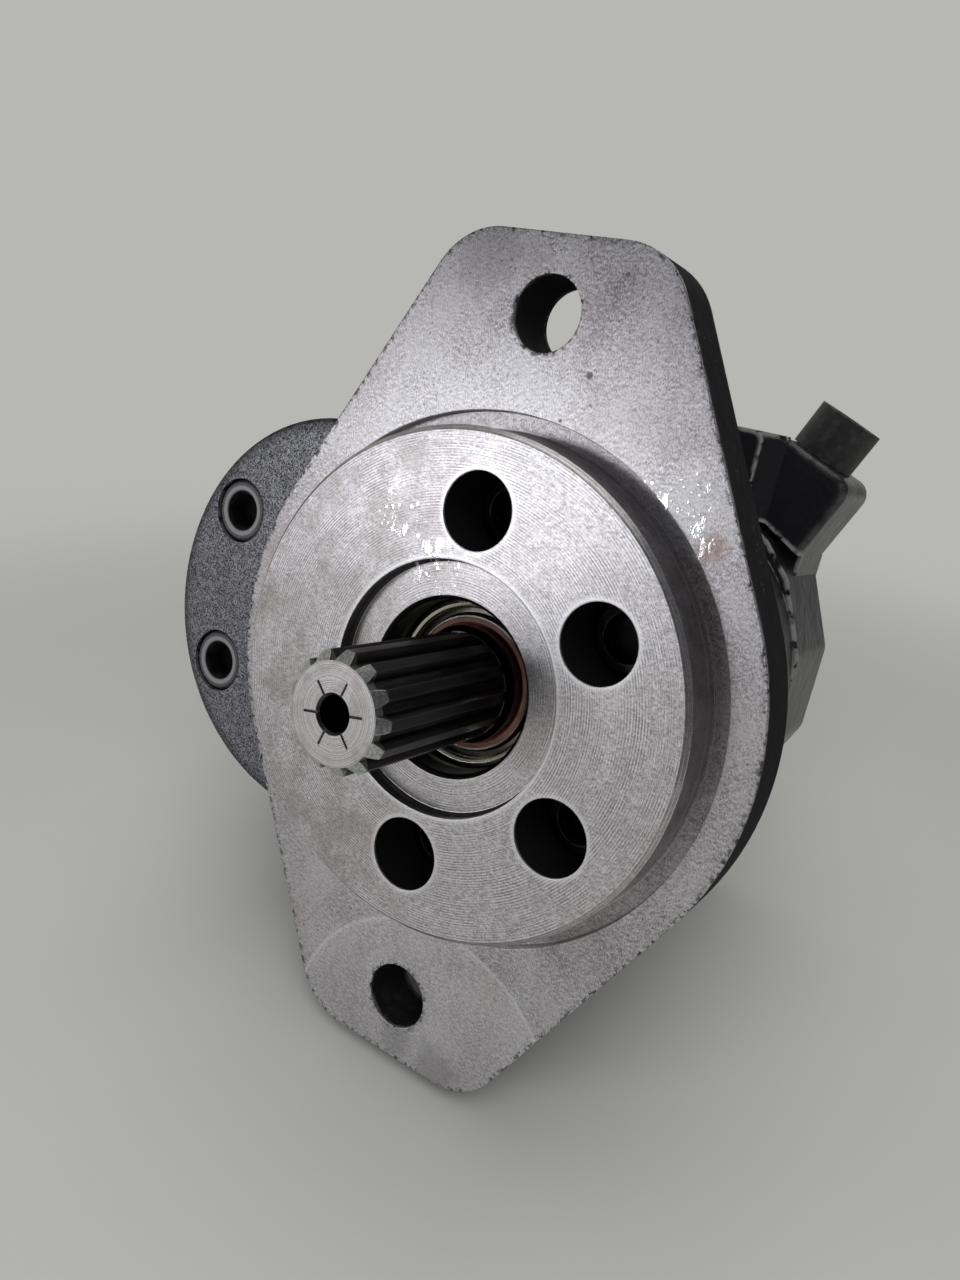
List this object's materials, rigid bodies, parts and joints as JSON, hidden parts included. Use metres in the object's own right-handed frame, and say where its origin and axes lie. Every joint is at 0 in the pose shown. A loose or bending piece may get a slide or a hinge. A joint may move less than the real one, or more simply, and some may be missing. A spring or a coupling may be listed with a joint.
{
  "type": "hydraulic motor",
  "caption": "External gear hydraulic motor: two-lobed cast iron body, round pilot on a two-bolt diamond flange, splined output shaft, side ports in the rear cover.",
  "frame": {"origin": "on the drive shaft's axis, in the plane of the flange's mounting face, at the root of the pilot", "axes": "-Y runs out along the output shaft, +Y into the body, +Z along the line of the two flange holes, the driven gear lies at -X"},
  "size_m": [0.1485, 0.153, 0.1746],
  "materials": {
    "cast_body": "cast iron, machined bare on the mounting face, the pilot and the recess, black paint on the rest",
    "painted_body": "semi-gloss black paint over cast iron",
    "shaft_steel": "ground hardened steel, oily, darker on the spline flanks",
    "seal_case": "plated pressed steel, satin",
    "seal_rubber": "reddish-brown fluorocarbon rubber, oily",
    "spring_steel": "drawn spring steel",
    "nitrile": "black nitrile rubber",
    "black_oxide": "black oxide, oily",
    "plug_plastic": "moulded black polyethylene",
    "block_alloy": "machined aluminium",
    "backup_ptfe": "white PTFE",
    "bushing_bronze": "bronze-backed journal lining"
  },
  "bodies": {
    "motor_body": {"dowel_pins": "spring_steel", "drain_port_plug": "plug_plastic", "front_block_backup_ring": "backup_ptfe", "front_block_seal": "nitrile", "front_bushing_block": "block_alloy", "front_cap_screws": "black_oxide", "front_cover": "cast_body", "front_drive_bushing": "bushing_bronze", "front_driven_bushing": "bushing_bronze", "front_section_seal": "nitrile", "gear_housing": "painted_body", "rear_block_backup_ring": "backup_ptfe", "rear_block_seal": "nitrile", "rear_bushing_block": "block_alloy", "rear_cap_screws": "black_oxide", "rear_cover": "painted_body", "rear_drive_bushing": "bushing_bronze", "rear_driven_bushing": "bushing_bronze", "rear_section_seal": "nitrile", "shaft_seal_case": "seal_case", "shaft_seal_garter_spring": "spring_steel", "shaft_seal_inner_case": "seal_case", "shaft_seal_lip": "seal_rubber"},
    "drive_shaft": {"drive_gear_shaft": "shaft_steel"},
    "driven_shaft": {"driven_gear_shaft": "shaft_steel"}
  },
  "joints": [
    {"name": "drive_shaft_spin", "type": "hinge", "parent": "motor_body", "child": "drive_shaft", "pos_m": [0, 0, 0], "axis": [0, 1, 0], "continuous": true},
    {"name": "driven_shaft_spin", "type": "hinge", "parent": "motor_body", "child": "driven_shaft", "pos_m": [-0.042, 0, 0], "axis": [0, 1, 0], "continuous": true}
  ],
  "couplings": [
    {"joint": "driven_shaft_spin", "follows": "drive_shaft_spin", "ratio": -1}
  ]
}
